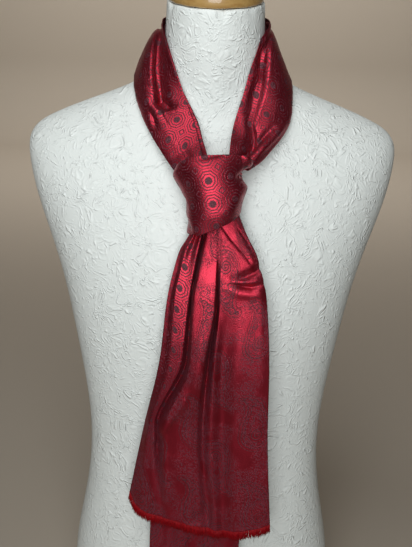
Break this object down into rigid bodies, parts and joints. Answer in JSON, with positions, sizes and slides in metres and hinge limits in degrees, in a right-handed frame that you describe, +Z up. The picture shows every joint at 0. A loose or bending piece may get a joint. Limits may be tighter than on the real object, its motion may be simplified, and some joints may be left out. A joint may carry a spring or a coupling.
{
  "type": "woven scarf tied on a torso display form",
  "caption": "Woven satin dress scarf with cut fringe, tied in a knot round the neck of a limbless torso form with a turned neck cap.",
  "frame": {"origin": "middle of the form's flat underside, on the floor", "axes": "+Z up; the front with the knot faces -Y; the viewer's right is +X"},
  "size_m": [0.448, 0.2671, 0.8608],
  "materials": {
    "scarf_cloth": "red and black jacquard satin",
    "fringe_yarn": "cut red yarn",
    "form_skin": "moulded pulp shell with a fibrous white paper skin",
    "cap_wood": "turned wood, golden lacquer"
  },
  "bodies": {
    "root": {"dress_form": "form_skin", "neck_cap": "cap_wood", "neck_band": "scarf_cloth", "knot_wrap": "scarf_cloth", "knot_under_wrap": "scarf_cloth", "knot_core": "scarf_cloth", "front_tail": "scarf_cloth", "back_tail": "scarf_cloth", "front_fringe": "fringe_yarn", "back_fringe": "fringe_yarn"}
  },
  "joints": []
}
